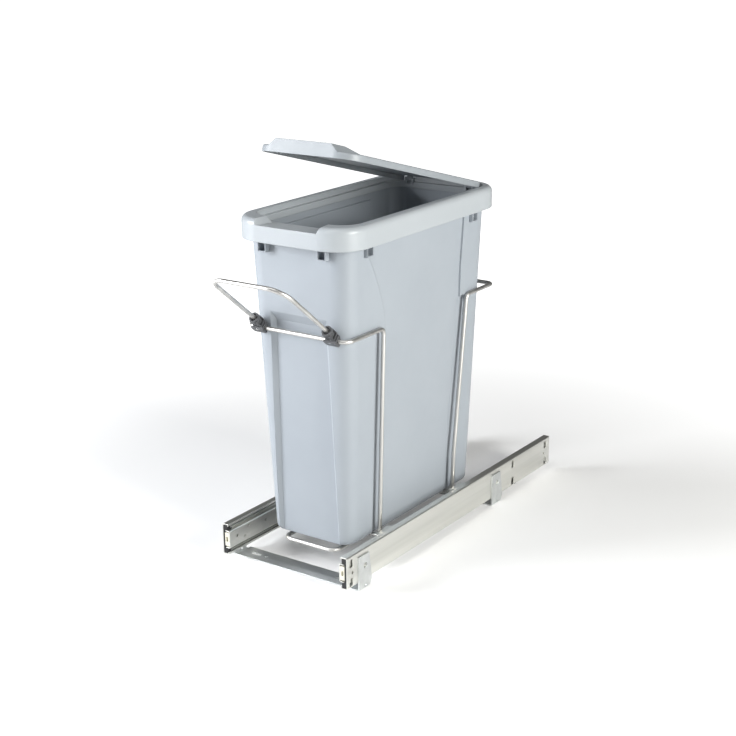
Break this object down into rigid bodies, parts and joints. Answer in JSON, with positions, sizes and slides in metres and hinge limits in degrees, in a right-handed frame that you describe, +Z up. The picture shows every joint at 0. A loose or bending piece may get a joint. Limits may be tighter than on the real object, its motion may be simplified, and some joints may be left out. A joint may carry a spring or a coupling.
{
  "type": "pull-out waste bin unit",
  "caption": "Narrow pull-out waste bin on full-extension ball-bearing slides, with a wire carriage, a tilting pull handle, a rim ring and a hinged lid standing ajar.",
  "frame": {"origin": "on the cabinet floor under the front strip, midway between its two round screw holes", "axes": "+X to the right of someone facing the unit's front, +Y rearward along the slides, +Z up"},
  "size_m": [0.2172, 0.6228, 0.5894],
  "materials": {
    "zinc_plate": "zinc-plated, satin",
    "strip_steel": "grey zinc, satin",
    "wire": "satin nickel",
    "bright_steel": "polished",
    "retainer_steel": "plain",
    "bin_plastic": "fine satin grain, light cool grey",
    "rim_plastic": "fine satin grain, light cool grey",
    "lid_plastic": "fine satin grain, light cool grey",
    "black_plastic": "matte",
    "cream_plastic": "matte",
    "clip_plastic": "satin dark grey",
    "bumper_rubber": "matte"
  },
  "bodies": {
    "base": {"front_cross_member": "strip_steel", "rear_cross_member": "strip_steel", "right_outer_member": "zinc_plate", "left_outer_member": "zinc_plate", "rear_bumpers": "bumper_rubber"},
    "outer_retainers": {"right_outer_retainer": "retainer_steel", "left_outer_retainer": "retainer_steel", "right_outer_balls": "bright_steel", "left_outer_balls": "bright_steel"},
    "intermediates": {"right_intermediate_member": "zinc_plate", "left_intermediate_member": "zinc_plate", "right_intermediate_cap": "black_plastic", "left_intermediate_cap": "black_plastic"},
    "inner_retainers": {"right_inner_retainer": "retainer_steel", "left_inner_retainer": "retainer_steel", "right_inner_balls": "bright_steel", "left_inner_balls": "bright_steel"},
    "carriage": {"right_inner_member": "zinc_plate", "left_inner_member": "zinc_plate", "right_front_block": "cream_plastic", "left_front_block": "cream_plastic", "front_hoop": "wire", "rear_hoop": "wire", "floor_loop": "wire", "right_front_carriage_bracket": "zinc_plate", "left_front_carriage_bracket": "zinc_plate", "right_rear_carriage_bracket": "zinc_plate", "left_rear_carriage_bracket": "zinc_plate", "bracket_rivets": "zinc_plate"},
    "handle": {"handle_loop": "wire", "right_clip_body": "clip_plastic", "left_clip_body": "clip_plastic", "right_clip_jaw": "clip_plastic", "left_clip_jaw": "clip_plastic", "clip_screws": "bright_steel"},
    "bin": {"bin_body": "bin_plastic", "rim_catches": "bin_plastic", "rim_ring": "rim_plastic", "hinge_pins": "bright_steel"},
    "lid": {"lid": "lid_plastic"}
  },
  "joints": [
    {"name": "pull_out", "type": "slide", "parent": "intermediates", "child": "carriage", "axis": [0, -1, 0], "range_m": [0, 0.2794]},
    {"name": "intermediate_slide", "type": "slide", "parent": "base", "child": "intermediates", "axis": [0, -1, 0], "range_m": [0, 0.2794]},
    {"name": "outer_retainer_slide", "type": "slide", "parent": "base", "child": "outer_retainers", "axis": [0, -1, 0], "range_m": [0, 0.1397]},
    {"name": "inner_retainer_slide", "type": "slide", "parent": "intermediates", "child": "inner_retainers", "axis": [0, -1, 0], "range_m": [0, 0.1397]},
    {"name": "handle_tilt", "type": "hinge", "parent": "carriage", "child": "handle", "pos_m": [0, 0.0026, 0.338], "axis": [-1, 0, 0], "range_deg": [-40, 15]},
    {"name": "bin_lift", "type": "slide", "parent": "carriage", "child": "bin", "axis": [0, 0, 1], "range_m": [0, 0.32]},
    {"name": "lid_hinge", "type": "hinge", "parent": "bin", "child": "lid", "pos_m": [0, 0.3546, 0.4837], "axis": [-1, 0, 0], "range_deg": [-15.2, 58]}
  ],
  "couplings": [
    {"joint": "intermediate_slide", "follows": "pull_out", "ratio": 1},
    {"joint": "outer_retainer_slide", "follows": "pull_out", "ratio": 0.5},
    {"joint": "inner_retainer_slide", "follows": "pull_out", "ratio": 0.5}
  ]
}
